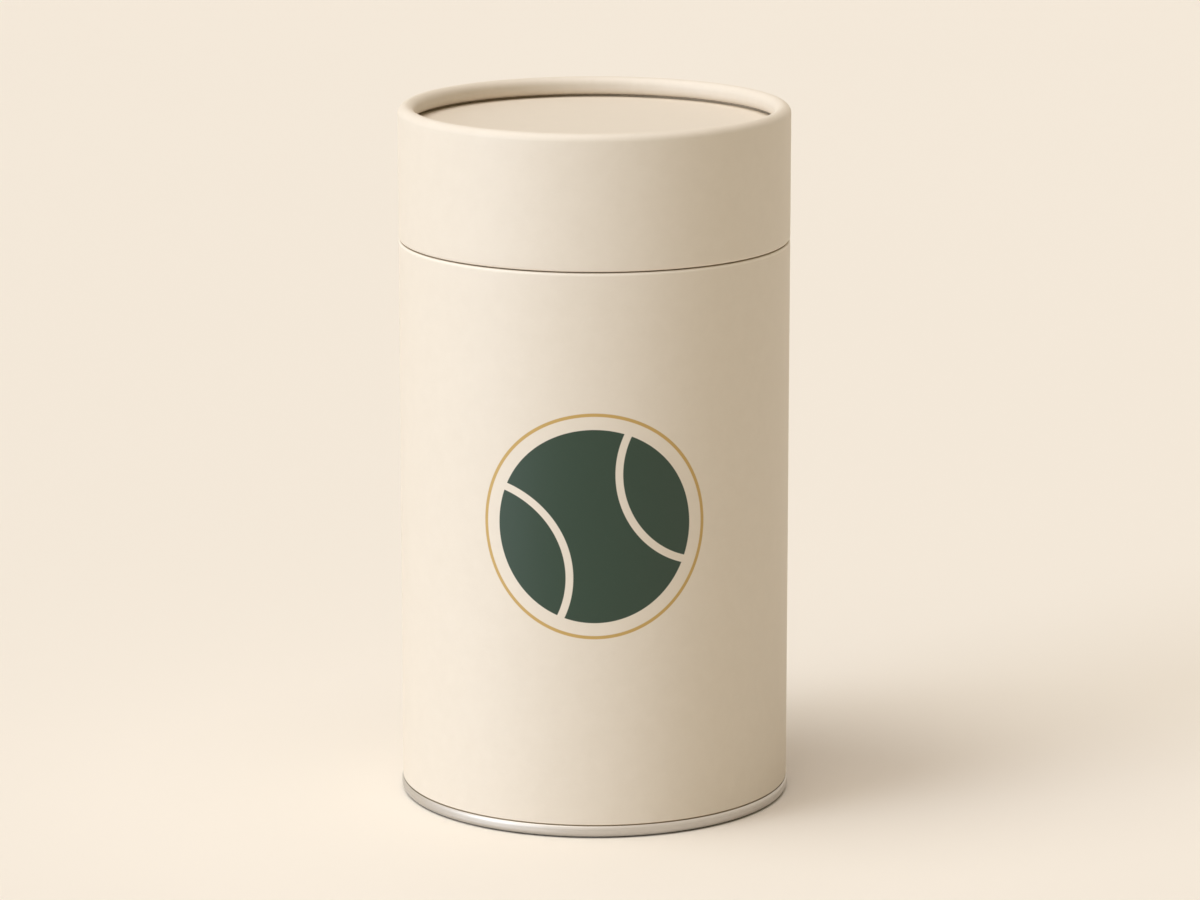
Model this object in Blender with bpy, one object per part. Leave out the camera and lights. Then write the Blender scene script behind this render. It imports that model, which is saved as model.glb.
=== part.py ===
"""A box for two tennis balls: a wound paper tube with a slip-on lid and a tinplate base.

Metres, +Z up. The origin is the middle of the base, on the surface that the box stands on.
Every piece is turned about the Z axis, so places are given as (radius, height).
"""

import math

import bmesh
import bpy

MM = 0.001

# Closed box, over the paper wrap
OUTER_DIAMETER = 83.0 * MM
TOTAL_HEIGHT = 148.8 * MM
LID_HEIGHT = 28.3 * MM
LID_SEAM_GAP = 0.4 * MM

# Wound board and paper
TUBE_WALL = 1.2 * MM
NECK_WALL = 1.2 * MM
RING_WALL = 1.2 * MM
WRAP_THICKNESS = 0.25 * MM
LINER_THICKNESS = 0.25 * MM
GLUE_GAP = 0.2 * MM
SLIP_CLEARANCE = 0.25 * MM

# Edges of the paper wraps
TURN_IN = 8.0 * MM
LAP_WIDTH = 9.0 * MM
LAP_FADE = 5.0 * MM
LAP_EDGE_RUN = 0.05 * MM
LAP_ANGLE = 90.0

# Rolled rim, disc and ring of the lid
CURL_BORE = 0.1 * MM
CURL_LEG = 0.4 * MM
DISC_GAP = 0.4 * MM
DISC_THICKNESS = 2.0 * MM
RING_HEIGHT = 5.0 * MM
NECK_STOP_GAP = 0.3 * MM

# Tinplate end seamed round the foot of the tube
SHEET = 0.3 * MM
SEAM_HEIGHT = 2.6 * MM
SEAM_PROUD = 0.25 * MM
SEAM_BEND = 1.2 * MM
CHUCK_BEND = 0.7 * MM
LIP_ANGLE = 40.0
CRIMP_RISE = 0.3 * MM
PANEL_RISE = 3.2 * MM
PANEL_BEND = 0.5 * MM
BEAD_COUNT = 2
BEAD_INSET = 5.0 * MM
BEAD_PITCH = 6.5 * MM
BEAD_WIDTH = 2.8 * MM
BEAD_DEPTH = 0.6 * MM

# Facets
SEGMENTS = 48
CURL_STEPS = 6
CURL_BORE_STEPS = 3
TUCK_STEPS = 2
FOLD_STEPS = 2
SEAM_STEPS = 3
LIP_STEPS = 2
CHUCK_STEPS = 2
SHARP_ANGLE = 35.0
WELD = 0.0001 * MM

# Radii that follow: the skin is one paper wrap and the glue under it
SKIN = GLUE_GAP + WRAP_THICKNESS
OUTER_RADIUS = OUTER_DIAMETER / 2
BOARD_RADIUS = OUTER_RADIUS - SKIN
BORE_RADIUS = BOARD_RADIUS - TUBE_WALL
INSERT_RADIUS = BORE_RADIUS - GLUE_GAP
NECK_RADIUS = BORE_RADIUS - SKIN - SLIP_CLEARANCE - SKIN
NECK_BORE_RADIUS = NECK_RADIUS - NECK_WALL
LINER_BORE_RADIUS = NECK_BORE_RADIUS - GLUE_GAP - LINER_THICKNESS
CURL_BOARD_RADIUS = CURL_BORE + TUBE_WALL
CURL_CENTRE_RADIUS = BOARD_RADIUS - CURL_BOARD_RADIUS
SEAM_RADIUS = OUTER_RADIUS + SEAM_PROUD
CHUCK_RADIUS = INSERT_RADIUS - SHEET
LIP_CENTRE_RADIUS = SEAM_RADIUS - SEAM_BEND
LIP_BITE_RADIUS = LIP_CENTRE_RADIUS + (SEAM_BEND - SHEET) * math.cos(math.radians(LIP_ANGLE))
CRIMP_BOARD_RADIUS = LIP_BITE_RADIUS - GLUE_GAP - SKIN

# Heights that follow on the lid, measured up from its lower edge
LID_BOARD_BOTTOM = SKIN
CURL_CENTRE_HEIGHT = LID_HEIGHT - CURL_BOARD_RADIUS - SKIN
TUCK_CENTRE_HEIGHT = CURL_CENTRE_HEIGHT - CURL_LEG
FACING_TOP = TUCK_CENTRE_HEIGHT - CURL_BOARD_RADIUS - SKIN - DISC_GAP
DISC_TOP = FACING_TOP - WRAP_THICKNESS - GLUE_GAP
LINING_TOP = DISC_TOP - DISC_THICKNESS - GLUE_GAP
RING_TOP = LINING_TOP - LINER_THICKNESS - GLUE_GAP
RING_BOTTOM = RING_TOP - RING_HEIGHT

# Heights that follow on the body, measured up from the surface that it stands on
LID_BOTTOM = TOTAL_HEIGHT - LID_HEIGHT
BODY_BOARD_TOP = LID_BOTTOM - LID_SEAM_GAP - SKIN
BODY_BOARD_BOTTOM = SEAM_BEND + GLUE_GAP
LIP_CENTRE_HEIGHT = SEAM_HEIGHT - SEAM_BEND * math.sin(math.radians(LIP_ANGLE))
NECK_BOTTOM = PANEL_RISE + SHEET + GLUE_GAP
NECK_BOARD_TOP = LID_BOTTOM + RING_BOTTOM - NECK_STOP_GAP - SKIN


def clear_scene():
    for old in list(bpy.data.objects):
        bpy.data.objects.remove(old)


def make_material(name, colour, roughness, metallic=0.0):
    made = bpy.data.materials.new(name)
    made.use_nodes = True
    shader = made.node_tree.nodes["Principled BSDF"]
    shader.inputs["Base Color"].default_value = (*colour, 1.0)
    shader.inputs["Roughness"].default_value = roughness
    shader.inputs["Metallic"].default_value = metallic
    made.diffuse_color = (*colour, 1.0)
    return made


def arc(centre, radius, start, end, steps):
    """Points on an arc, from start to end in degrees: 0 points outwards and 90 points up."""
    points = []
    for step in range(steps + 1):
        angle = math.radians(start + (end - start) * step / steps)
        points.append((centre[0] + radius * math.cos(angle), centre[1] + radius * math.sin(angle)))
    return points


def add_object(name, mesh, material, parent):
    """Makes the bmesh a smooth-shaded object under its assembly's empty."""
    bmesh.ops.recalc_face_normals(mesh, faces=mesh.faces)
    data = bpy.data.meshes.new(name)
    mesh.to_mesh(data)
    mesh.free()
    data.shade_smooth()
    data.set_sharp_from_angle(angle=math.radians(SHARP_ANGLE))
    data.materials.append(material)
    made = bpy.data.objects.new(name, data)
    made.parent = parent
    bpy.context.scene.collection.objects.link(made)
    return made


def add_turned(name, profile, material, parent):
    """Spins a profile into a ring, or into a disc where the profile ends on the axis."""
    mesh = bmesh.new()
    points = [mesh.verts.new((radius, 0, height)) for radius, height in profile]
    meets_axis = profile[0][0] == 0
    following = points[1:] if meets_axis else points[1:] + points[:1]
    edges = [mesh.edges.new(pair) for pair in zip(points, following)]
    bmesh.ops.spin(
        mesh,
        geom=points + edges,
        cent=(0, 0, 0),
        axis=(0, 0, 1),
        angle=math.tau,
        steps=SEGMENTS,
        use_merge=True,
    )
    bmesh.ops.remove_doubles(mesh, verts=mesh.verts, dist=WELD)
    return add_object(name, mesh, material, parent)


def ring_profile(outer, inner, bottom, top):
    return [(outer, top), (outer, bottom), (inner, bottom), (inner, top)]


def disc_profile(radius, bottom, top):
    return [(0, top), (radius, top), (radius, bottom), (0, bottom)]


def lap_columns():
    """Angles round a wrap, each with the paper that its outer face gains at the lap.

    The end that lies on top stops in a step at LAP_ANGLE. Towards the other side, the extra paper
    fades away where that end comes down onto the board.
    """
    edge = math.radians(LAP_ANGLE)
    columns = []
    for step in range(SEGMENTS):
        angle = math.tau * step / SEGMENTS
        behind = (edge - angle) * OUTER_RADIUS
        share = 1 - (behind - LAP_WIDTH) / LAP_FADE if behind > -WELD else 0
        columns.append((angle, WRAP_THICKNESS * min(max(share, 0), 1)))
    columns.append((edge + LAP_EDGE_RUN / OUTER_RADIUS, 0))
    return sorted(columns)


def add_wrap(name, path, material, parent):
    """Lofts a paper wrap whose ends lap: path(reach, lap) runs round the board at that reach."""
    mesh = bmesh.new()
    sections = []
    for angle, lap in lap_columns():
        section = path(GLUE_GAP, 0) + path(SKIN, lap)[::-1]
        place = (math.cos(angle), math.sin(angle))
        sections.append([mesh.verts.new((r * place[0], r * place[1], z)) for r, z in section])
    for here, there in zip(sections, sections[1:] + sections[:1]):
        for i in range(len(here)):
            mesh.faces.new((here[i - 1], here[i], there[i], there[i - 1]))
    return add_object(name, mesh, material, parent)


def body_wrap_path(reach, lap):
    """From the edge turned in behind the board, over its top and down to the crimped foot."""
    inner_corner = arc((BORE_RADIUS, BODY_BOARD_TOP), reach, 180, 90, FOLD_STEPS)
    outer_corner = arc((BOARD_RADIUS, BODY_BOARD_TOP), reach, 90, 0, FOLD_STEPS)
    outer_corner[-1] = (BOARD_RADIUS + reach + lap, BODY_BOARD_TOP)
    return [
        (BORE_RADIUS - reach, BODY_BOARD_TOP - TURN_IN),
        *inner_corner,
        *outer_corner,
        (BOARD_RADIUS + reach + lap, SEAM_HEIGHT + CRIMP_RISE),
        (CRIMP_BOARD_RADIUS + reach, SEAM_HEIGHT),
        (CRIMP_BOARD_RADIUS + reach, BODY_BOARD_BOTTOM),
    ]


def rolled_rim_path(radius, steps):
    """One face of the rim: from the wall over the crest, down the leg and back under it."""
    crest = arc((CURL_CENTRE_RADIUS, CURL_CENTRE_HEIGHT), radius, 0, 180, steps)
    tuck = arc((CURL_CENTRE_RADIUS, TUCK_CENTRE_HEIGHT), radius, 180, 270, TUCK_STEPS)
    return crest + tuck


def lid_wrap_path(reach, lap):
    """From the edge turned in behind the board, up the outside and round the rolled rim.

    The lap is rolled flat from the crest on.
    """
    inner_corner = arc((BORE_RADIUS, LID_BOARD_BOTTOM), reach, 180, 270, FOLD_STEPS)
    outer_corner = arc((BOARD_RADIUS, LID_BOARD_BOTTOM), reach, 270, 360, FOLD_STEPS)
    outer_corner[-1] = (BOARD_RADIUS + reach + lap, LID_BOARD_BOTTOM)
    rim = rolled_rim_path(CURL_BOARD_RADIUS + reach, CURL_STEPS)
    rim[0] = (BOARD_RADIUS + reach + lap, CURL_CENTRE_HEIGHT)
    return [
        (BORE_RADIUS - reach, LID_BOARD_BOTTOM + TURN_IN),
        *inner_corner,
        *outer_corner,
        *rim,
    ]


def neck_wrap_path(reach):
    """From the edge turned in over the liner, over the top of the neck and down its outside."""
    return [
        (LINER_BORE_RADIUS - reach, NECK_BOARD_TOP - TURN_IN),
        (LINER_BORE_RADIUS - reach, NECK_BOARD_TOP + reach),
        (NECK_RADIUS + reach, NECK_BOARD_TOP + reach),
        (NECK_RADIUS + reach, NECK_BOTTOM),
    ]


def bead_path(centre, height):
    """One round stiffening bead, pressed down into the panel."""
    half = BEAD_WIDTH / 2
    quarter = BEAD_WIDTH / 4
    return [
        (centre + half, height),
        (centre + quarter, height - BEAD_DEPTH),
        (centre - quarter, height - BEAD_DEPTH),
        (centre - half, height),
    ]


def base_end_path(depth):
    """One face of the tinplate, at that depth behind its outer face, from the lip to the axis."""
    bend = SEAM_BEND - depth
    lip = arc((LIP_CENTRE_RADIUS, LIP_CENTRE_HEIGHT), bend, LIP_ANGLE, 0, LIP_STEPS)
    outer_bend = arc((LIP_CENTRE_RADIUS, SEAM_BEND), bend, 0, -90, SEAM_STEPS)
    inner_bend = arc((CHUCK_RADIUS + CHUCK_BEND, CHUCK_BEND), CHUCK_BEND - depth, -90, -180, CHUCK_STEPS)
    panel_centre = (CHUCK_RADIUS - PANEL_BEND, PANEL_RISE - PANEL_BEND)
    panel_bend = arc(panel_centre, PANEL_BEND + depth, 0, 90, LIP_STEPS)
    beads = []
    for index in range(BEAD_COUNT):
        centre = CHUCK_RADIUS - BEAD_INSET - BEAD_PITCH * index
        beads += bead_path(centre, PANEL_RISE + depth)
    return [*lip, *outer_bend, *inner_bend, *panel_bend, *beads, (0, PANEL_RISE + depth)]


def body_tube_profile():
    return [
        (BOARD_RADIUS, BODY_BOARD_TOP),
        (BOARD_RADIUS, SEAM_HEIGHT + CRIMP_RISE),
        (CRIMP_BOARD_RADIUS, SEAM_HEIGHT),
        (CRIMP_BOARD_RADIUS, BODY_BOARD_BOTTOM),
        (BORE_RADIUS, BODY_BOARD_BOTTOM),
        (BORE_RADIUS, BODY_BOARD_TOP),
    ]


def lid_tube_profile():
    """The wall of the lid, with its top edge rolled inwards, down and back under to the wall."""
    return [
        (BORE_RADIUS, LID_BOARD_BOTTOM),
        (BOARD_RADIUS, LID_BOARD_BOTTOM),
        *rolled_rim_path(CURL_BOARD_RADIUS, CURL_STEPS),
        *rolled_rim_path(CURL_BORE, CURL_BORE_STEPS)[::-1],
    ]


def compound_profile():
    """Sealing compound, flowed into the rounded floor of the seam under the foot of the tube."""
    cover = SHEET + GLUE_GAP
    inner_centre = (CHUCK_RADIUS + CHUCK_BEND, CHUCK_BEND)
    return [
        (CHUCK_RADIUS + cover, SEAM_BEND),
        *arc((LIP_CENTRE_RADIUS, SEAM_BEND), SEAM_BEND - cover, 0, -90, LIP_STEPS),
        *arc(inner_centre, CHUCK_BEND - cover, -90, -180, CHUCK_STEPS),
    ]


def build_body(parent, board, paper, liner, tinplate, compound):
    add_turned("body_tube", body_tube_profile(), board, parent)
    add_wrap("body_wrap", body_wrap_path, paper, parent)
    neck = ring_profile(NECK_RADIUS, NECK_BORE_RADIUS, NECK_BOTTOM, NECK_BOARD_TOP)
    add_turned("neck_tube", neck, board, parent)
    neck_wrap = neck_wrap_path(SKIN)[::-1] + neck_wrap_path(GLUE_GAP)
    add_turned("neck_wrap", neck_wrap, paper, parent)
    liner_outer = NECK_BORE_RADIUS - GLUE_GAP
    lining = ring_profile(liner_outer, LINER_BORE_RADIUS, NECK_BOTTOM, NECK_BOARD_TOP)
    add_turned("neck_liner", lining, liner, parent)
    base_end = base_end_path(SHEET)[::-1] + base_end_path(0)
    add_turned("base_end", base_end, tinplate, parent)
    add_turned("seam_compound", compound_profile(), compound, parent)


def build_lid(parent, board, paper, liner):
    add_turned("lid_tube", lid_tube_profile(), board, parent)
    add_wrap("lid_wrap", lid_wrap_path, paper, parent)
    facing = disc_profile(INSERT_RADIUS, FACING_TOP - WRAP_THICKNESS, FACING_TOP)
    add_turned("disc_facing", facing, paper, parent)
    disc = disc_profile(INSERT_RADIUS, DISC_TOP - DISC_THICKNESS, DISC_TOP)
    add_turned("lid_disc", disc, board, parent)
    lining = disc_profile(INSERT_RADIUS, LINING_TOP - LINER_THICKNESS, LINING_TOP)
    add_turned("disc_lining", lining, liner, parent)
    ring = ring_profile(INSERT_RADIUS, INSERT_RADIUS - RING_WALL, RING_BOTTOM, RING_TOP)
    add_turned("lid_ring", ring, board, parent)


def add_empty(name, height):
    """The frame of one assembly, on the axis that the lid lifts along."""
    empty = bpy.data.objects.new(name, None)
    empty.location = (0, 0, height)
    bpy.context.scene.collection.objects.link(empty)
    return empty


def main():
    clear_scene()
    paper = make_material("cream_wrap_paper", (0.80, 0.71, 0.61), 0.62)
    board = make_material("wound_grey_board", (0.42, 0.33, 0.23), 0.85)
    liner = make_material("white_liner_paper", (0.86, 0.84, 0.79), 0.6)
    tinplate = make_material("tinplate", (0.72, 0.70, 0.66), 0.32, 1.0)
    compound = make_material("sealing_compound", (0.22, 0.22, 0.21), 0.7)
    build_body(add_empty("tube_assembly", 0), board, paper, liner, tinplate, compound)
    build_lid(add_empty("lid_assembly", LID_BOTTOM), board, paper, liner)


main()
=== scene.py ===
"""Looks of the tennis ball box: its papers, boards and tinplate, on a pale floor in soft light.

Metres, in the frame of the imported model: +Z is up and the viewer looks along +Y. Profiles are
lists of (radius, height) pairs, and most pieces are lofted round the Z axis from them.
"""

import math

import bmesh
import bpy
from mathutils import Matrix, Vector


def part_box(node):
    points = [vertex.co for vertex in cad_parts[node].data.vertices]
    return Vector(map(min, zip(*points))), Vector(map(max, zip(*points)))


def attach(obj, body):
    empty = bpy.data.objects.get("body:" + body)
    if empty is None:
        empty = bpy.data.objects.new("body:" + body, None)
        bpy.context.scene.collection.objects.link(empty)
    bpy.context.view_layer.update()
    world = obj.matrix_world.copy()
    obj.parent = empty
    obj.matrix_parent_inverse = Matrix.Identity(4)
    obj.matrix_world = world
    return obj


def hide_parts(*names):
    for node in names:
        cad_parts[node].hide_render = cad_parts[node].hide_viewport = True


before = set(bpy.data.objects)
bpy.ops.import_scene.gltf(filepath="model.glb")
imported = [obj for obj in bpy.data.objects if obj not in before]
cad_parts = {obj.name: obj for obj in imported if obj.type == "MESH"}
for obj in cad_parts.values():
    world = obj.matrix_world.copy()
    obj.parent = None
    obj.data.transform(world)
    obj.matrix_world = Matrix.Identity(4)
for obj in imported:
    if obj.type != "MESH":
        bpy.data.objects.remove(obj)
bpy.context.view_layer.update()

MM = 0.001


def reach(node):
    """The outer radius of a CAD node, which has a corner on the X axis."""
    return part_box(node)[1].x


def foot(node):
    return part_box(node)[0].z


def head(node):
    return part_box(node)[1].z


# Radii of the frame
OUTER_RADIUS = reach("body_wrap")
BOARD_RADIUS = reach("body_tube")
SKIN = OUTER_RADIUS - BOARD_RADIUS
PAPER = 0.25 * MM
GLUE_GAP = SKIN - PAPER
INSERT_RADIUS = reach("lid_disc")
BORE_RADIUS = INSERT_RADIUS + GLUE_GAP
NECK_RADIUS = reach("neck_tube")
LINER_RADIUS = reach("neck_liner")
LINER_BORE_RADIUS = LINER_RADIUS - PAPER
SEAM_RADIUS = reach("base_end")

# Heights of the frame
LID_BOARD_BOTTOM = foot("lid_tube")
LID_BOARD_TOP = head("lid_tube")
RING_BOTTOM = foot("lid_ring")
RING_TOP = head("lid_ring")
BODY_BOARD_TOP = head("body_tube")
BODY_BOARD_BOTTOM = foot("body_tube")
NECK_BOTTOM = foot("neck_tube")
NECK_BOARD_TOP = head("neck_tube")
PANEL_TOP = head("base_end")

# Rolled rim of the lid
CURL_BORE = 0.1 * MM
CURL_LEG = 0.4 * MM
CURL_BOARD_RADIUS = BOARD_RADIUS - BORE_RADIUS + CURL_BORE
CURL_CENTRE_RADIUS = BOARD_RADIUS - CURL_BOARD_RADIUS
CURL_CENTRE_HEIGHT = LID_BOARD_TOP - CURL_BOARD_RADIUS
TUCK_CENTRE_HEIGHT = CURL_CENTRE_HEIGHT - CURL_LEG
CURL_INNER_RADIUS = CURL_CENTRE_RADIUS - CURL_BOARD_RADIUS - SKIN

# Edges and laps of the papers
TURN_IN = 8.0 * MM
FOLD_SLACK = 0.1 * MM
LAP_WIDTH = 9.0 * MM
LAP_FADE = 5.0 * MM
LAP_EDGE_RUN = 0.05 * MM
LAP_ANGLE = math.radians(90)
# Width of the painted shade, with some dirt, at the foot of the lap's edge
LAP_SHADE_AND_SOIL_WIDTH = 0.3 * MM
PLEAT_DEPTH = 0.05 * MM
PLEAT_WAVES = ((61, 0.0), (97, 1.3), (139, 2.9))
BUTT_DEPTH = 0.12 * MM
BUTT_HALF_WIDTH = 0.15 * MM
FACING_WAVE = 0.03 * MM

# Windings of the boards and the liner
BOARD_PITCH = 96.0 * MM
LINER_PITCH = 118.0 * MM
WINDING_GAP = 0.5 * MM
WINDING_DEPTH = 0.12 * MM
GAP_FLOOR_SHARE = 0.6

# Tinplate end
SHEET = 0.3 * MM
SEAM_HEIGHT = 2.6 * MM
SEAM_BEND = 1.2 * MM
CHUCK_BEND = 0.7 * MM
LIP_DEGREES = 40.0
CRIMP_RISE = 0.3 * MM
# How far above the crimp's edge the painted shade in the crimp begins
CRIMP_PAINTED_SHADE_RISE = 0.06 * MM
PANEL_BEND = 0.5 * MM
BEAD_COUNT = 2
BEAD_INSET = 5.0 * MM
BEAD_PITCH = 6.5 * MM
BEAD_WIDTH = 2.8 * MM
BEAD_DEPTH = 0.6 * MM
# Heights and fade of the painted shade where the tin meets the floor
CONTACT_SHADE_TOP = 0.4 * MM
CONTACT_SHADE_FULL = 0.2 * MM
CONTACT_SHADE_FADE = 0.3 * MM
CHUCK_RADIUS = INSERT_RADIUS - SHEET
PANEL_RISE = PANEL_TOP - SHEET
LIP_CENTRE_RADIUS = SEAM_RADIUS - SEAM_BEND
LIP_CENTRE_HEIGHT = SEAM_HEIGHT - SEAM_BEND * math.sin(math.radians(LIP_DEGREES))
LIP_BITE_RADIUS = LIP_CENTRE_RADIUS + (SEAM_BEND - SHEET) * math.cos(math.radians(LIP_DEGREES))
CRIMP_BOARD_RADIUS = LIP_BITE_RADIUS - GLUE_GAP - SKIN

# Print on the front: a plain ball in a thin ring
PRINT_HEIGHT = 67.0 * MM
BALL_RADIUS = 20.5 * MM
BALL_SEAM_RADIUS = 19.5 * MM
BALL_SEAM_OFFSET = 27.0 * MM
BALL_SEAM_HALF_WIDTH = 0.8 * MM
BALL_TILT = math.radians(24)
RING_RADIUS = 23.6 * MM
RING_HALF_WIDTH = 0.35 * MM
PRINT_EDGE = 0.05 * MM
INK_GLOSS = 0.08

# Facets
COLUMNS = 240
FINE_COLUMNS = 480
ARC_STEPS = 8
CURL_STEPS = 28
BODY_SIDE_STEPS = 24
LID_SIDE_STEPS = 12
TURN_IN_STEPS = 8
DISC_STEPS = 24
BEAD_STEPS = 12
PANEL_STEPS = 16
FLOOR_CELLS = 8
SHARP_ANGLE = math.radians(35)
WELD = 0.0001 * MM

# Axes of the paper laid flat
ALONG = 0
UP = 1
OUT = 2

# Colours, as linear red, green and blue, with their tones and shares
CREAM = (0.793, 0.708, 0.60)
CREAM_LIGHT = (0.813, 0.728, 0.62)
# The facing is painted a little darker than the wrap, as painted shade of its recess under the rim
FACING_SHADE_TONE = 0.96
# Brown of the painted shade in the seam gap, the crimp and under the rim, and of the painted shade
# with dirt along the lap
EDGE_SHADE_AND_SOIL = (0.50, 0.38, 0.24)
EDGE_SHADE_AND_SOIL_SHARE = 0.6
# Share of the painted shade on the fold crowns that face into the seam gap
FOLD_PAINTED_SHADE_SHARE = 0.85
# Share of the painted shade in the crimp, where the paper goes in under the tin's lip
CRIMP_PAINTED_SHADE_SHARE = 0.95
# A painted highlight on the rounded top edge of the body, just under the seam
PAINTED_HIGHLIGHT_CREAM = (0.95, 0.87, 0.76)
PAINTED_HIGHLIGHT_SHARE = 0.7
SHEEN_CREAM = (1.0, 0.88, 0.70)
PAPER_CORE = (0.83, 0.76, 0.67)
INK_GREEN = (0.016, 0.044, 0.026)
INK_GOLD = (0.56, 0.36, 0.11)
BOARD_MID = (0.42, 0.33, 0.23)
BOARD_DARK = (0.26, 0.20, 0.135)
BOARD_LIGHT = (0.56, 0.46, 0.34)
LINER_WHITE = (0.85, 0.80, 0.72)
LINER_SHADE = (0.78, 0.72, 0.63)
TIN = (0.58, 0.555, 0.52)
TIN_DULL = (0.52, 0.495, 0.46)
# Dark brown of the painted shade where the tin meets the floor
TIN_CONTACT_SHADE = (0.075, 0.045, 0.02)
COMPOUND = (0.22, 0.22, 0.21)
COMPOUND_LIGHT_TONE = 1.25
FLOOR_CREAM = (0.91, 0.85, 0.77)
FLOOR_SHADE_TONE = 0.98
BACKDROP = (0.93, 0.83, 0.70)

# Grain of the materials: sizes of blotches and fibres, and depths of the bumps
NOISE_LOW = 0.3
NOISE_HIGH = 0.7
PAPER_CLOUD = 3.5 * MM
PAPER_FIBRE = 0.32 * MM
PAPER_FIBRE_DEPTH = 0.012 * MM
PAPER_GRAIN = 0.55 * MM
PAPER_GRAIN_DEPTH = 0.02 * MM
BOARD_CLOUD = 6.0 * MM
BOARD_FIBRE = 0.45 * MM
BOARD_FIBRE_DEPTH = 0.03 * MM
BOARD_FLECK = 0.7 * MM
LINER_CLOUD = 5.0 * MM
LINER_FIBRE = 0.3 * MM
LINER_FIBRE_DEPTH = 0.01 * MM
TIN_SPANGLE = 4.0 * MM
ROLLING_GRAIN = 0.16 * MM
BURNISHING_GRAIN = 0.14 * MM
TIN_GRAIN_DEPTH = 0.002 * MM
COMPOUND_GRAIN = 0.4 * MM
COMPOUND_GRAIN_DEPTH = 0.02 * MM
FLOOR_MOTTLE = 400.0 * MM

# Camera, from the photograph's outline
SENSOR_WIDTH = 36.0
LENS = 150.9
CAMERA_PITCH = math.radians(12.62)
CAMERA_DISTANCE = 1076.9 * MM
CAMERA_TARGET = Vector((1.17 * MM, 0, 74.0 * MM))
CAMERA_CLIP = 10.0 * MM

# Lamps: azimuth from the viewer, elevation and width in degrees, and their colour on white
LAMPS = {
    "key": (-80, 65, 30, (0.233, 0.24, 0.233)),
    "low_key": (-60, 10, 30, (0.41, 0.47, 0.57)),
    "front_key": (-45, 55, 50, (0.18, 0.17, 0.155)),
    "overhead": (0, 90, 50, (0.335, 0.30, 0.31)),
}
AMBIENT = (1.0, 0.94, 0.63)
AMBIENT_STRENGTH = 0.207
FLOOR_SIZE = 8.0


class Surface:
    """A material round one Principled shader, with short calls for the nodes that it needs."""

    def __init__(self, name, **plain):
        self.material = bpy.data.materials.new(name)
        self.material.use_nodes = True
        self.tree = self.material.node_tree
        self.shader = self.tree.nodes["Principled BSDF"]
        for socket, value in plain.items():
            self.shader.inputs[socket.replace("_", " ").title()].default_value = value
        self.place = self.node("ShaderNodeTexCoord", output="Object")

    def node(self, kind, *inputs, output=0, **settings):
        """Adds a node, fills its inputs in order with links or values, and returns one output."""
        made = self.tree.nodes.new(kind)
        for name, value in settings.items():
            setattr(made, name, value)
        for socket, value in zip(made.inputs, inputs):
            self.join(value, socket)
        return made.outputs[output]

    def join(self, value, socket):
        if isinstance(value, bpy.types.NodeSocket):
            self.tree.links.new(value, socket)
        elif value is not None:
            socket.default_value = value

    def math(self, operation, *inputs):
        return self.node("ShaderNodeMath", *inputs, operation=operation)

    def ramp(self, value, low, high, to_low=0.0, to_high=1.0):
        """Straight from to_low to to_high as value goes from low to high, and held outside that."""
        return self.node("ShaderNodeMapRange", value, low, high, to_low, to_high)

    def mix(self, factor, first, second):
        made = self.tree.nodes.new("ShaderNodeMix")
        made.data_type = "RGBA"
        self.join(factor, made.inputs["Factor"])
        # The node's two colour inputs are at 6 and 7, and its colour output is at 2
        for socket, value in zip(made.inputs[6:8], (first, second)):
            self.join((*value, 1.0) if isinstance(value, tuple) else value, socket)
        return made.outputs[2]

    def spread(self, noise, to_low=0.0, to_high=1.0):
        """Noise, most of which lies between two bounds, spread over a range."""
        return self.ramp(noise, NOISE_LOW, NOISE_HIGH, to_low, to_high)

    def stretched(self, place, x, y, z):
        """The place with its axes scaled. A scale below 1 draws the noise out along that axis."""
        return self.node("ShaderNodeVectorMath", place, (x, y, z), operation="MULTIPLY")

    def noise(self, place, size, detail=3.0, roughness=0.5):
        """Soft noise from 0 to 1 with blotches of about that size."""
        made = self.tree.nodes.new("ShaderNodeTexNoise")
        self.join(place, made.inputs["Vector"])
        self.join(1 / size, made.inputs["Scale"])
        self.join(detail, made.inputs["Detail"])
        self.join(roughness, made.inputs["Roughness"])
        return made.outputs["Fac"]

    def split(self, place):
        made = self.tree.nodes.new("ShaderNodeSeparateXYZ")
        self.join(place, made.inputs[0])
        return made.outputs

    def joined(self, x, y, z):
        return self.node("ShaderNodeCombineXYZ", x, y, z)

    def unrolled(self, radius):
        """The place on the tube laid flat: along from the front, up, and out from the axis."""
        x, y, z = self.split(self.place)
        angle = self.math("ARCTAN2", x, self.math("MULTIPLY", y, -1.0))
        squares = self.math("ADD", self.math("POWER", x, 2.0), self.math("POWER", y, 2.0))
        return self.joined(self.math("MULTIPLY", angle, radius), z, self.math("SQRT", squares))

    def bump(self, height, depth, strength=1.0, before=None):
        made = self.tree.nodes.new("ShaderNodeBump")
        self.join(strength, made.inputs["Strength"])
        self.join(depth, made.inputs["Distance"])
        self.join(height, made.inputs["Height"])
        self.join(before, made.inputs["Normal"])
        return made.outputs["Normal"]

    def finish(self, colour, roughness, normal=None):
        self.join(colour, self.shader.inputs["Base Color"])
        self.join(roughness, self.shader.inputs["Roughness"])
        self.join(normal, self.shader.inputs["Normal"])
        return self.material


def toned(colour, tone):
    return tuple(tone * part for part in colour)


def stroke(surface, distance, radius, half_width):
    """1 on a line of that half width at that distance, and 0 off it."""
    off = surface.math("ABSOLUTE", surface.math("SUBTRACT", distance, radius))
    return surface.ramp(off, half_width + PRINT_EDGE, half_width - PRINT_EDGE)


def distance_to(surface, place, x, y):
    centre = (x, y, 0)
    return surface.node("ShaderNodeVectorMath", place, centre, operation="DISTANCE", output="Value")


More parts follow.
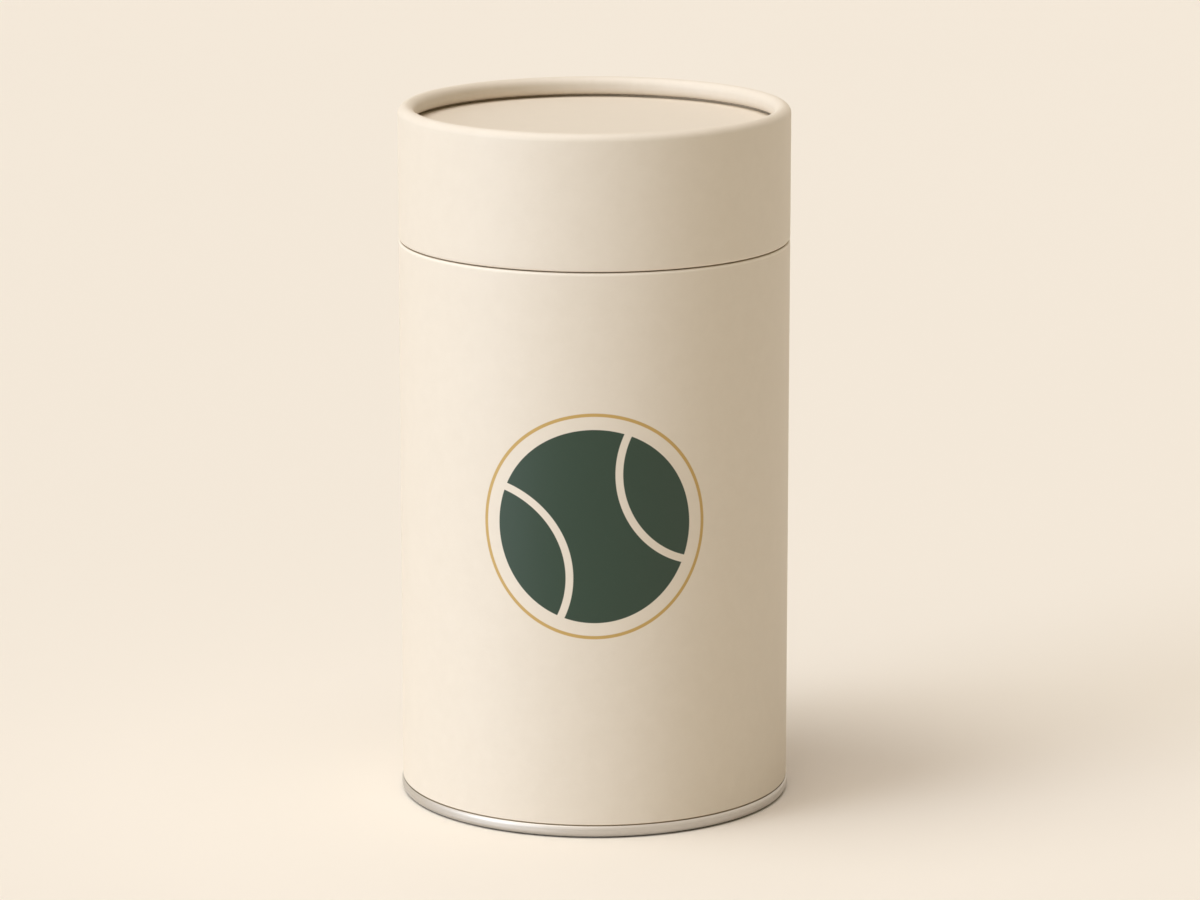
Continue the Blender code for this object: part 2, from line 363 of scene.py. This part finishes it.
def ball_print(surface, colour):
    """Prints the ball and its ring over the paper's colour, and returns it and the ink's mask."""
    flat = surface.split(surface.unrolled(OUTER_RADIUS))
    place = surface.joined(flat[ALONG], flat[UP], 0.0)
    from_centre = distance_to(surface, place, 0, PRINT_HEIGHT)
    ball = surface.ramp(from_centre, BALL_RADIUS + PRINT_EDGE, BALL_RADIUS - PRINT_EDGE)
    for side in (-1, 1):
        seam_x = side * BALL_SEAM_OFFSET * math.cos(BALL_TILT)
        seam_z = PRINT_HEIGHT + side * BALL_SEAM_OFFSET * math.sin(BALL_TILT)
        from_seam = distance_to(surface, place, seam_x, seam_z)
        seam = stroke(surface, from_seam, BALL_SEAM_RADIUS, BALL_SEAM_HALF_WIDTH)
        ball = surface.math("MULTIPLY", ball, surface.math("SUBTRACT", 1.0, seam))
    ring = stroke(surface, from_centre, RING_RADIUS, RING_HALF_WIDTH)
    printed = surface.mix(ball, colour, INK_GREEN)
    printed = surface.mix(ring, printed, INK_GOLD)
    return printed, surface.math("MAXIMUM", ball, ring)


def cream_paper(name, tone=1.0, with_print=False, bands=()):
    """Soft-touch cream wrap: faint cloudiness, fine fibres round the tube and an eggshell skin.

    Bands of painted shade and a painted highlight lie over it, and painted shade with some dirt
    along the lap. A band has a colour, the share of it, and one or more bounds, each of them an
    axis of the flat paper, where the band is off and where it is full.
    """
    paper = Surface(name, Sheen_Weight=0.12, Sheen_Roughness=0.45, Sheen_Tint=(*SHEEN_CREAM, 1))
    flat = paper.unrolled(OUTER_RADIUS)
    axes = paper.split(flat)
    cloud = paper.noise(paper.place, PAPER_CLOUD, detail=4.0, roughness=0.6)
    fibres = paper.noise(paper.stretched(flat, 0.25, 1.0, 1.0), PAPER_FIBRE, roughness=0.6)
    colour = paper.mix(paper.spread(cloud), toned(CREAM, tone), toned(CREAM_LIGHT, tone))
    colour = paper.mix(paper.ramp(fibres, 0.56, 0.75, 0.0, 0.25), colour, PAPER_CORE)
    roughness = paper.spread(cloud, 0.50, 0.58)
    for tint, share, *bounds in bands:
        for axis, band_off, full in bounds:
            share = paper.math("MULTIPLY", paper.ramp(axes[axis], band_off, full), share)
        colour = paper.mix(share, colour, tint)
    if with_print:
        colour, inked = ball_print(paper, colour)
        roughness = paper.math("SUBTRACT", roughness, paper.math("MULTIPLY", inked, INK_GLOSS))
    grain = paper.noise(paper.place, PAPER_GRAIN, detail=2.0)
    normal = paper.bump(fibres, PAPER_FIBRE_DEPTH, 0.6)
    normal = paper.bump(grain, PAPER_GRAIN_DEPTH, 0.5, before=normal)
    return paper.finish(colour, roughness, normal)


def greyboard(name):
    """Wound recycled board: brown-grey, with darker and lighter fibres lying round the tube."""
    board = Surface(name)
    flat = board.unrolled(BOARD_RADIUS)
    cloud = board.noise(board.place, BOARD_CLOUD, detail=5.0, roughness=0.65)
    drawn_out = board.stretched(flat, 0.22, 1.0, 1.0)
    fibres = board.noise(drawn_out, BOARD_FIBRE, detail=4.0, roughness=0.7)
    flecks = board.noise(board.place, BOARD_FLECK, detail=1.0)
    colour = board.mix(board.spread(cloud, 0.0, 0.5), BOARD_MID, BOARD_LIGHT)
    colour = board.mix(board.ramp(fibres, 0.5, 0.75, 0.0, 0.6), colour, BOARD_LIGHT)
    colour = board.mix(board.ramp(flecks, 0.66, 0.72, 0.0, 0.7), colour, BOARD_DARK)
    normal = board.bump(fibres, BOARD_FIBRE_DEPTH, 0.8)
    return board.finish(colour, board.spread(cloud, 0.8, 0.92), normal)


def liner_paper(name):
    """Smooth white liner with a slight sheen from its grease barrier."""
    liner = Surface(name)
    flat = liner.unrolled(LINER_RADIUS)
    cloud = liner.noise(liner.place, LINER_CLOUD, detail=4.0, roughness=0.6)
    fibres = liner.noise(liner.stretched(flat, 0.3, 1.0, 1.0), LINER_FIBRE)
    colour = liner.mix(liner.spread(cloud), LINER_WHITE, LINER_SHADE)
    normal = liner.bump(fibres, LINER_FIBRE_DEPTH, 0.6)
    return liner.finish(colour, liner.spread(cloud, 0.42, 0.52), normal)


def tinplate(name):
    """Satin tinplate: straight rolling grain on the panel, burnished round the seam by the rollers.

    Painted shade darkens it round the outside of the edge that it stands on, where it meets the
    floor.
    """
    tin = Surface(name, Metallic=1.0)
    flat = tin.unrolled(SEAM_RADIUS)
    axes = tin.split(flat)
    along_panel = tin.stretched(tin.place, 0.02, 1.0, 0.02)
    rolled = tin.noise(along_panel, ROLLING_GRAIN, detail=4.0, roughness=0.65)
    along_seam = tin.stretched(flat, 0.012, 1.0, 1.0)
    burnished = tin.noise(along_seam, BURNISHING_GRAIN, detail=4.0, roughness=0.65)
    at_seam = tin.ramp(axes[OUT], CHUCK_RADIUS - PANEL_BEND, CHUCK_RADIUS)
    on_panel = tin.math("SUBTRACT", 1.0, at_seam)
    lines = tin.math(
        "ADD",
        tin.math("MULTIPLY", burnished, at_seam),
        tin.math("MULTIPLY", rolled, on_panel),
    )
    spangle = tin.noise(tin.place, TIN_SPANGLE, detail=2.0)
    colour = tin.mix(tin.ramp(lines, 0.35, 0.7), TIN, TIN_DULL)
    # Painted shade round the bottom of the seam, where the tin stands on the floor, broken up by
    # the spangle
    contact_shade = tin.math(
        "MULTIPLY",
        tin.ramp(axes[UP], CONTACT_SHADE_TOP, CONTACT_SHADE_FULL),
        tin.ramp(axes[OUT], LIP_CENTRE_RADIUS, LIP_CENTRE_RADIUS + CONTACT_SHADE_FADE),
    )
    contact_shade = tin.math("MULTIPLY", contact_shade, tin.ramp(spangle, 0.35, 0.55, 0.7, 1.0))
    colour = tin.mix(contact_shade, colour, TIN_CONTACT_SHADE)
    roughness = tin.math("ADD", tin.spread(lines, 0.52, 0.58), tin.spread(spangle, -0.03, 0.03))
    normal = tin.bump(lines, TIN_GRAIN_DEPTH, 0.5)
    return tin.finish(colour, roughness, normal)


def rubber_compound(name):
    """Dull grey sealing compound."""
    compound = Surface(name)
    grain = compound.noise(compound.place, COMPOUND_GRAIN)
    colour = compound.mix(grain, COMPOUND, toned(COMPOUND, COMPOUND_LIGHT_TONE))
    normal = compound.bump(grain, COMPOUND_GRAIN_DEPTH)
    return compound.finish(colour, compound.spread(grain, 0.6, 0.75), normal)


def at(radius, angle, height):
    """The point at a radius from the axis, an angle round it and a height."""
    return radius * math.cos(angle), radius * math.sin(angle), height


def arc(centre, radius, start, end, steps):
    """Points on an arc, from start to end in degrees: 0 points outwards and 90 points up."""
    points = []
    for step in range(steps + 1):
        angle = math.radians(start + (end - start) * step / steps)
        points.append((centre[0] + radius * math.cos(angle), centre[1] + radius * math.sin(angle)))
    return points


def line(start, end, steps):
    """Points from start to end, without the end."""
    points = []
    for step in range(steps):
        points.append(tuple(a + (b - a) * step / steps for a, b in zip(start, end)))
    return points


def around(count, *extra):
    """Evenly spaced angles round the axis, and the extra ones among them."""
    return sorted([math.tau * step / count for step in range(count)] + list(extra))


def add_piece(name, mesh, material, body, slot, *nodes):
    """Makes the bmesh a piece that rides on a body in place of CAD nodes."""
    bmesh.ops.recalc_face_normals(mesh, faces=mesh.faces)
    data = bpy.data.meshes.new(name)
    mesh.to_mesh(data)
    mesh.free()
    data.shade_smooth()
    data.set_sharp_from_angle(angle=SHARP_ANGLE)
    data.materials.append(material)
    piece = bpy.data.objects.new(name, data)
    bpy.context.scene.collection.objects.link(piece)
    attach(piece, body)
    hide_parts(*nodes)


def loft(angles, section_at):
    """Joins the sections round the axis. A section is a closed loop, or runs from axis to axis."""
    mesh = bmesh.new()
    sections = []
    for angle in angles:
        sections.append([mesh.verts.new(at(r, angle, z)) for r, z in section_at(angle)])
    meets_axis = section_at(angles[0])[0][0] == 0
    for here, there in zip(sections, sections[1:] + sections[:1]):
        for i in range(1 if meets_axis else 0, len(here)):
            mesh.faces.new((here[i - 1], here[i], there[i], there[i - 1]))
    bmesh.ops.remove_doubles(mesh, verts=mesh.verts, dist=WELD)
    return mesh


def pleats(angle):
    """Depth share of the small pleats in gathered paper at an angle, from 0 to 1."""
    waves = [math.sin(count * angle + phase) for count, phase in PLEAT_WAVES]
    return 0.5 + sum(waves) / (2 * len(waves))


def lap_at(angle):
    """Extra paper on a wrap's outer face where its end lies on its start."""
    behind = (LAP_ANGLE - angle) * OUTER_RADIUS
    if behind < -WELD:
        return 0
    share = 1 - (behind - LAP_WIDTH) / LAP_FADE
    return PAPER * min(max(share, 0), 1)


def wrap_angles(count):
    return around(count, LAP_ANGLE + LAP_EDGE_RUN / OUTER_RADIUS)


def fold(bore, outside, height, side, gap, lap=0):
    """Paper over a board's top edge (side 1) or under its lower one (side -1), from the bore out.

    It stands slightly off the edge, and the lap's extra paper begins on its outer corner.
    """
    inner_corner = arc((bore, 0), gap, 180, 90, ARC_STEPS)
    outer_corner = arc((outside, 0), gap, 90, 0, ARC_STEPS)
    outer_corner = [(r + lap * i / ARC_STEPS, z) for i, (r, z) in enumerate(outer_corner)]
    stretch = side * (gap + FOLD_SLACK) / gap
    return [(r, height + stretch * z) for r, z in inner_corner + outer_corner]


def body_wrap_path(gap, lap):
    top = fold(BORE_RADIUS, BOARD_RADIUS, BODY_BOARD_TOP, 1, gap, lap)
    side_bottom = (top[-1][0], SEAM_HEIGHT + CRIMP_RISE)
    return [
        (BORE_RADIUS - gap, BODY_BOARD_TOP - TURN_IN),
        *top[:-1],
        *line(top[-1], side_bottom, BODY_SIDE_STEPS),
        side_bottom,
        (CRIMP_BOARD_RADIUS + gap, SEAM_HEIGHT),
        (CRIMP_BOARD_RADIUS + gap, BODY_BOARD_BOTTOM),
    ]


def crest_path(radius, lap, pleat):
    """Over the rim from the outside to the inside. The lap is rolled flat before the top."""
    points = []
    for step in range(CURL_STEPS + 1):
        angle = math.pi * step / CURL_STEPS
        outwards = math.cos(angle)
        reached = radius + lap * max(0, outwards) ** 2 - pleat * max(0, -outwards)
        points.append((
            CURL_CENTRE_RADIUS + reached * outwards,
            CURL_CENTRE_HEIGHT + reached * math.sin(angle),
        ))
    return points


def lid_wrap_path(gap, lap, pleat):
    """The lid's paper, at a gap from the board. A pleat sinks its gathered edges into the glue."""
    turned_in = []
    for step in range(TURN_IN_STEPS):
        share = 1 - step / TURN_IN_STEPS
        turned_in.append((BORE_RADIUS - gap + pleat * share, LID_BOARD_BOTTOM + TURN_IN * share))
    bottom = fold(BORE_RADIUS, BOARD_RADIUS, LID_BOARD_BOTTOM, -1, gap, lap)
    radius = CURL_BOARD_RADIUS + gap
    crest = crest_path(radius, lap, pleat)
    tuck_centre = (CURL_CENTRE_RADIUS, TUCK_CENTRE_HEIGHT)
    return [
        *turned_in,
        *bottom,
        *line(bottom[-1], crest[0], LID_SIDE_STEPS)[1:],
        *crest,
        *arc(tuck_centre, radius - pleat, 180, 270, ARC_STEPS),
    ]


def add_body_wrap(material):
    def section(angle):
        return body_wrap_path(GLUE_GAP, 0) + body_wrap_path(SKIN, lap_at(angle))[::-1]

    mesh = loft(wrap_angles(COLUMNS), section)
    add_piece("body_wrap_paper", mesh, material, "tube", "body_paper", "body_wrap")


def add_lid_wrap(material):
    def section(angle):
        sunk = PLEAT_DEPTH * pleats(angle)
        return lid_wrap_path(GLUE_GAP, 0, 0) + lid_wrap_path(SKIN, lap_at(angle), sunk)[::-1]

    mesh = loft(wrap_angles(FINE_COLUMNS), section)
    add_piece("lid_wrap_paper", mesh, material, "lid", "lid_paper", "lid_wrap")


def neck_wrap_path(gap):
    return [
        (LINER_BORE_RADIUS - gap, NECK_BOARD_TOP - TURN_IN),
        *fold(LINER_BORE_RADIUS, NECK_RADIUS, NECK_BOARD_TOP, 1, gap),
        (NECK_RADIUS + gap, NECK_BOTTOM),
    ]


def add_neck_wrap(material):
    """The neck's paper, whose ends meet edge to edge at the back, in a joint with a flat floor."""
    half_floor = BUTT_HALF_WIDTH / NECK_RADIUS
    half_joint = 2 * half_floor
    joint = [LAP_ANGLE + turn for turn in (-half_joint, -half_floor, half_floor, half_joint)]

    def section(angle):
        sunk = BUTT_DEPTH if abs(angle - LAP_ANGLE) < (half_floor + half_joint) / 2 else 0
        return neck_wrap_path(GLUE_GAP) + neck_wrap_path(SKIN - sunk)[::-1]

    mesh = loft(around(COLUMNS, *joint), section)
    add_piece("neck_wrap_paper", mesh, material, "tube", "neck_paper", "neck_wrap")


def add_wound_tube(name, outer, inner, bottom, top, pitch, material, body, slot, node):
    """A spiral-wound tube. Its bore shows the gap between the turns of its inner ply.

    The gap has a flat floor and sloping sides, and starts at angle 0 at the bottom.
    """
    half_gap = WINDING_GAP / inner / 2
    half_floor = GAP_FLOOR_SHARE * half_gap
    angles = around(COLUMNS, half_floor, half_gap, math.tau - half_gap, math.tau - half_floor)
    rows = max(round((top - bottom) / pitch * COLUMNS / 2), 1)
    mesh = bmesh.new()

    def bore_at(angle):
        in_gap = min(angle, math.tau - angle) < (half_floor + half_gap) / 2
        return inner + (WINDING_DEPTH if in_gap else 0)

    def ring(height, radius_at):
        turn = math.tau * (height - bottom) / pitch
        return [mesh.verts.new(at(radius_at(angle), angle + turn, height)) for angle in angles]

    rings = [ring(bottom + (top - bottom) * row / rows, bore_at) for row in range(rows + 1)]
    rings += [ring(height, lambda angle: outer) for height in (top, bottom)]
    for below, above in zip(rings, rings[1:] + rings[:1]):
        for i in range(len(angles)):
            mesh.faces.new((below[i - 1], below[i], above[i], above[i - 1]))
    add_piece(name, mesh, material, body, slot, node)


def lid_tube_path():
    """The board of the lid's wall, rolled inwards at the top, down and back under to the wall."""
    crest_centre = (CURL_CENTRE_RADIUS, CURL_CENTRE_HEIGHT)
    tuck_centre = (CURL_CENTRE_RADIUS, TUCK_CENTRE_HEIGHT)
    return [
        (BORE_RADIUS, LID_BOARD_BOTTOM),
        (BOARD_RADIUS, LID_BOARD_BOTTOM),
        *arc(crest_centre, CURL_BOARD_RADIUS, 0, 180, CURL_STEPS),
        *arc(tuck_centre, CURL_BOARD_RADIUS, 180, 270, ARC_STEPS),
        *arc(tuck_centre, CURL_BORE, 270, 180, ARC_STEPS),
        *arc(crest_centre, CURL_BORE, 180, 0, ARC_STEPS),
    ]


def swell(share):
    """Up from 0 to 1 at the middle and down again, with rounded shoulders."""
    return (1 - math.cos(math.tau * share)) / 2


def disc_path(radius, bottom, top, wave):
    """A disc from the axis out and back. Its top face sinks and rises by a slight wave."""
    upper = []
    for step in range(DISC_STEPS + 1):
        share = step / DISC_STEPS
        upper.append((radius * share, top - wave * swell(share)))
    return [*upper, (radius, bottom), (0, bottom)]


def add_disc(name, node, wave, material, slot):
    bottom = foot(node)
    top = head(node)
    mesh = loft(around(COLUMNS), lambda angle: disc_path(INSERT_RADIUS, bottom, top, wave))
    add_piece(name, mesh, material, "lid", slot, node)


def bead_path(centre, height):
    """One round stiffening bead, pressed down into the panel with rounded shoulders."""
    points = []
    for step in range(BEAD_STEPS + 1):
        share = step / BEAD_STEPS
        points.append((centre + BEAD_WIDTH * (0.5 - share), height - BEAD_DEPTH * swell(share)))
    return points


def base_end_path(depth):
    """One face of the tinplate, at that depth behind its outer face, from the lip to the axis."""
    bend = SEAM_BEND - depth
    panel_height = PANEL_RISE + depth
    lip = arc((LIP_CENTRE_RADIUS, LIP_CENTRE_HEIGHT), bend, LIP_DEGREES, 0, ARC_STEPS)
    outer_bend = arc((LIP_CENTRE_RADIUS, SEAM_BEND), bend, 0, -90, ARC_STEPS)
    chuck_centre = (CHUCK_RADIUS + CHUCK_BEND, CHUCK_BEND)
    inner_bend = arc(chuck_centre, CHUCK_BEND - depth, -90, -180, ARC_STEPS)
    panel_centre = (CHUCK_RADIUS - PANEL_BEND, PANEL_RISE - PANEL_BEND)
    panel_bend = arc(panel_centre, PANEL_BEND + depth, 0, 90, ARC_STEPS)
    beads = []
    for index in range(BEAD_COUNT):
        centre = CHUCK_RADIUS - BEAD_INSET - BEAD_PITCH * index
        beads += bead_path(centre, panel_height)
    axis = (0, panel_height)
    middle = line((beads[-1][0], panel_height), axis, PANEL_STEPS)[1:]
    return [*lip, *outer_bend, *inner_bend, *panel_bend, *beads, *middle, axis]


def add_base_end(material):
    section = base_end_path(SHEET)[::-1] + base_end_path(0)
    mesh = loft(around(COLUMNS), lambda angle: section)
    add_piece("base_end_tinplate", mesh, material, "tube", "tinplate", "base_end")


def dress_node(node, material):
    """Gives a CAD node that stays in view its finish."""
    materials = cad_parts[node].data.materials
    materials.clear()
    materials.append(material)


def lap_shade_and_soil():
    """Painted shade, with some dirt, along the lap's edge at the back, where the flat paper begins.
    It stops at the rim.
    """
    start = -math.pi * OUTER_RADIUS
    return (
        EDGE_SHADE_AND_SOIL,
        EDGE_SHADE_AND_SOIL_SHARE,
        (ALONG, start + LAP_SHADE_AND_SOIL_WIDTH, start),
        (UP, CURL_CENTRE_HEIGHT, TUCK_CENTRE_HEIGHT),
        (OUT, BOARD_RADIUS, BOARD_RADIUS + GLUE_GAP),
    )


def build_tube():
    # Painted highlight just under the seam on the body's top edge
    under_fold = (UP, BODY_BOARD_TOP - GLUE_GAP, BODY_BOARD_TOP + GLUE_GAP)
    painted_highlight = (PAINTED_HIGHLIGHT_CREAM, PAINTED_HIGHLIGHT_SHARE, under_fold)
    # Painted shade on the crown of the body's top fold, inside the seam gap
    fold_height = BODY_BOARD_TOP + SKIN
    top_fold_shade = (EDGE_SHADE_AND_SOIL, FOLD_PAINTED_SHADE_SHARE, (UP, fold_height, fold_height + FOLD_SLACK))
    # Painted shade in the crimp above the tin's lip
    crimp_edge = SEAM_HEIGHT + CRIMP_RISE
    crimp_shade = (EDGE_SHADE_AND_SOIL, CRIMP_PAINTED_SHADE_SHARE, (UP, crimp_edge + CRIMP_PAINTED_SHADE_RISE, crimp_edge))
    bands = (painted_highlight, top_fold_shade, crimp_shade, lap_shade_and_soil())
    add_body_wrap(cream_paper("body_cream_paper", with_print=True, bands=bands))
    add_neck_wrap(cream_paper("neck_cream_paper"))
    add_wound_tube(
        "neck_liner_paper",
        LINER_RADIUS, LINER_BORE_RADIUS, NECK_BOTTOM, NECK_BOARD_TOP, LINER_PITCH,
        liner_paper("neck_white_liner"), "tube", "liner_paper", "neck_liner",
    )
    add_base_end(tinplate("satin_tinplate"))
    dress_node("body_tube", greyboard("body_greyboard"))
    dress_node("neck_tube", greyboard("neck_greyboard"))
    dress_node("seam_compound", rubber_compound("seam_rubber"))


def build_lid():
    # Painted shade on the crown of the lid's lower fold, inside the seam gap
    fold_height = LID_BOARD_BOTTOM - SKIN
    lower_fold_shade = (EDGE_SHADE_AND_SOIL, FOLD_PAINTED_SHADE_SHARE, (UP, fold_height, fold_height - FOLD_SLACK))
    add_lid_wrap(cream_paper("lid_cream_paper", bands=(lower_fold_shade, lap_shade_and_soil())))
    mesh = loft(around(COLUMNS), lambda angle: lid_tube_path())
    add_piece("lid_tube_board", mesh, greyboard("lid_greyboard"), "lid", "lid_board", "lid_tube")
    # Painted shade on the facing's outer ring, where it runs in under the rolled rim
    under_rim_shade = (EDGE_SHADE_AND_SOIL, EDGE_SHADE_AND_SOIL_SHARE, (OUT, CURL_INNER_RADIUS, INSERT_RADIUS))
    facing = cream_paper("facing_cream_paper", FACING_SHADE_TONE, bands=(under_rim_shade,))
    add_disc("disc_facing_paper", "disc_facing", FACING_WAVE, facing, "facing_paper")
    add_disc("disc_lining_paper", "disc_lining", 0, liner_paper("disc_white_liner"), "lining_paper")
    ring_bore = INSERT_RADIUS - (BOARD_RADIUS - BORE_RADIUS)
    add_wound_tube(
        "lid_ring_board",
        INSERT_RADIUS, ring_bore, RING_BOTTOM, RING_TOP, BOARD_PITCH,
        greyboard("ring_greyboard"), "lid", "ring_board", "lid_ring",
    )
    dress_node("lid_disc", greyboard("disc_greyboard"))


def build_floor():
    mesh = bmesh.new()
    bmesh.ops.create_grid(
        mesh, x_segments=FLOOR_CELLS, y_segments=FLOOR_CELLS, size=FLOOR_SIZE / 2
    )
    data = bpy.data.meshes.new("floor")
    mesh.to_mesh(data)
    mesh.free()
    paint = Surface("floor_paint")
    mottle = paint.noise(paint.place, FLOOR_MOTTLE, detail=2.0)
    shade = toned(FLOOR_CREAM, FLOOR_SHADE_TONE)
    colour = paint.mix(paint.spread(mottle, 0.0, 0.3), FLOOR_CREAM, shade)
    data.materials.append(paint.finish(colour, roughness=0.9))
    floor = bpy.data.objects.new("floor", data)
    bpy.context.scene.collection.objects.link(floor)


def build_world():
    """A cream room: dim on the object, and as pale as the backdrop where it is seen."""
    world = bpy.data.worlds.new("cream_room")
    bpy.context.scene.world = world
    world.use_nodes = True
    tree = world.node_tree
    room = tree.nodes["Background"]
    room.inputs["Color"].default_value = (*AMBIENT, 1)
    room.inputs["Strength"].default_value = AMBIENT_STRENGTH
    seen = tree.nodes.new("ShaderNodeBackground")
    seen.inputs["Color"].default_value = (*BACKDROP, 1)
    path = tree.nodes.new("ShaderNodeLightPath")
    either = tree.nodes.new("ShaderNodeMath")
    either.operation = "MAXIMUM"
    blend = tree.nodes.new("ShaderNodeMixShader")
    tree.links.new(path.outputs["Is Camera Ray"], either.inputs[0])
    tree.links.new(path.outputs["Is Glossy Ray"], either.inputs[1])
    tree.links.new(either.outputs[0], blend.inputs["Fac"])
    tree.links.new(room.outputs[0], blend.inputs[1])
    tree.links.new(seen.outputs[0], blend.inputs[2])
    tree.links.new(blend.outputs[0], tree.nodes["World Output"].inputs["Surface"])


def add_lamp(name, azimuth, elevation, width, colour):
    """A broad sun. Its strength is such that white paper facing it shows its colour."""
    data = bpy.data.lights.new(name, "SUN")
    data.energy = math.pi
    data.color = colour
    data.angle = math.radians(width)
    lamp = bpy.data.objects.new(name, data)
    turn = math.radians(azimuth)
    rise = math.radians(elevation)
    towards = Vector((
        math.cos(rise) * math.sin(turn),
        -math.cos(rise) * math.cos(turn),
        math.sin(rise),
    ))
    lamp.rotation_euler = towards.to_track_quat("Z", "Y").to_euler()
    bpy.context.scene.collection.objects.link(lamp)


def build_lamps():
    for name, settings in LAMPS.items():
        add_lamp(name, *settings)


def build_camera():
    data = bpy.data.cameras.new("camera")
    data.sensor_fit = "HORIZONTAL"
    data.sensor_width = SENSOR_WIDTH
    data.lens = LENS
    data.clip_start = CAMERA_CLIP
    camera = bpy.data.objects.new("camera", data)
    back = Vector((0, -math.cos(CAMERA_PITCH), math.sin(CAMERA_PITCH)))
    camera.location = CAMERA_TARGET + CAMERA_DISTANCE * back
    camera.rotation_euler = back.to_track_quat("Z", "Y").to_euler()
    bpy.context.scene.collection.objects.link(camera)
    bpy.context.scene.camera = camera


build_tube()
build_lid()
build_floor()
build_world()
build_lamps()
build_camera()
bpy.context.scene.view_settings.view_transform = "Standard"
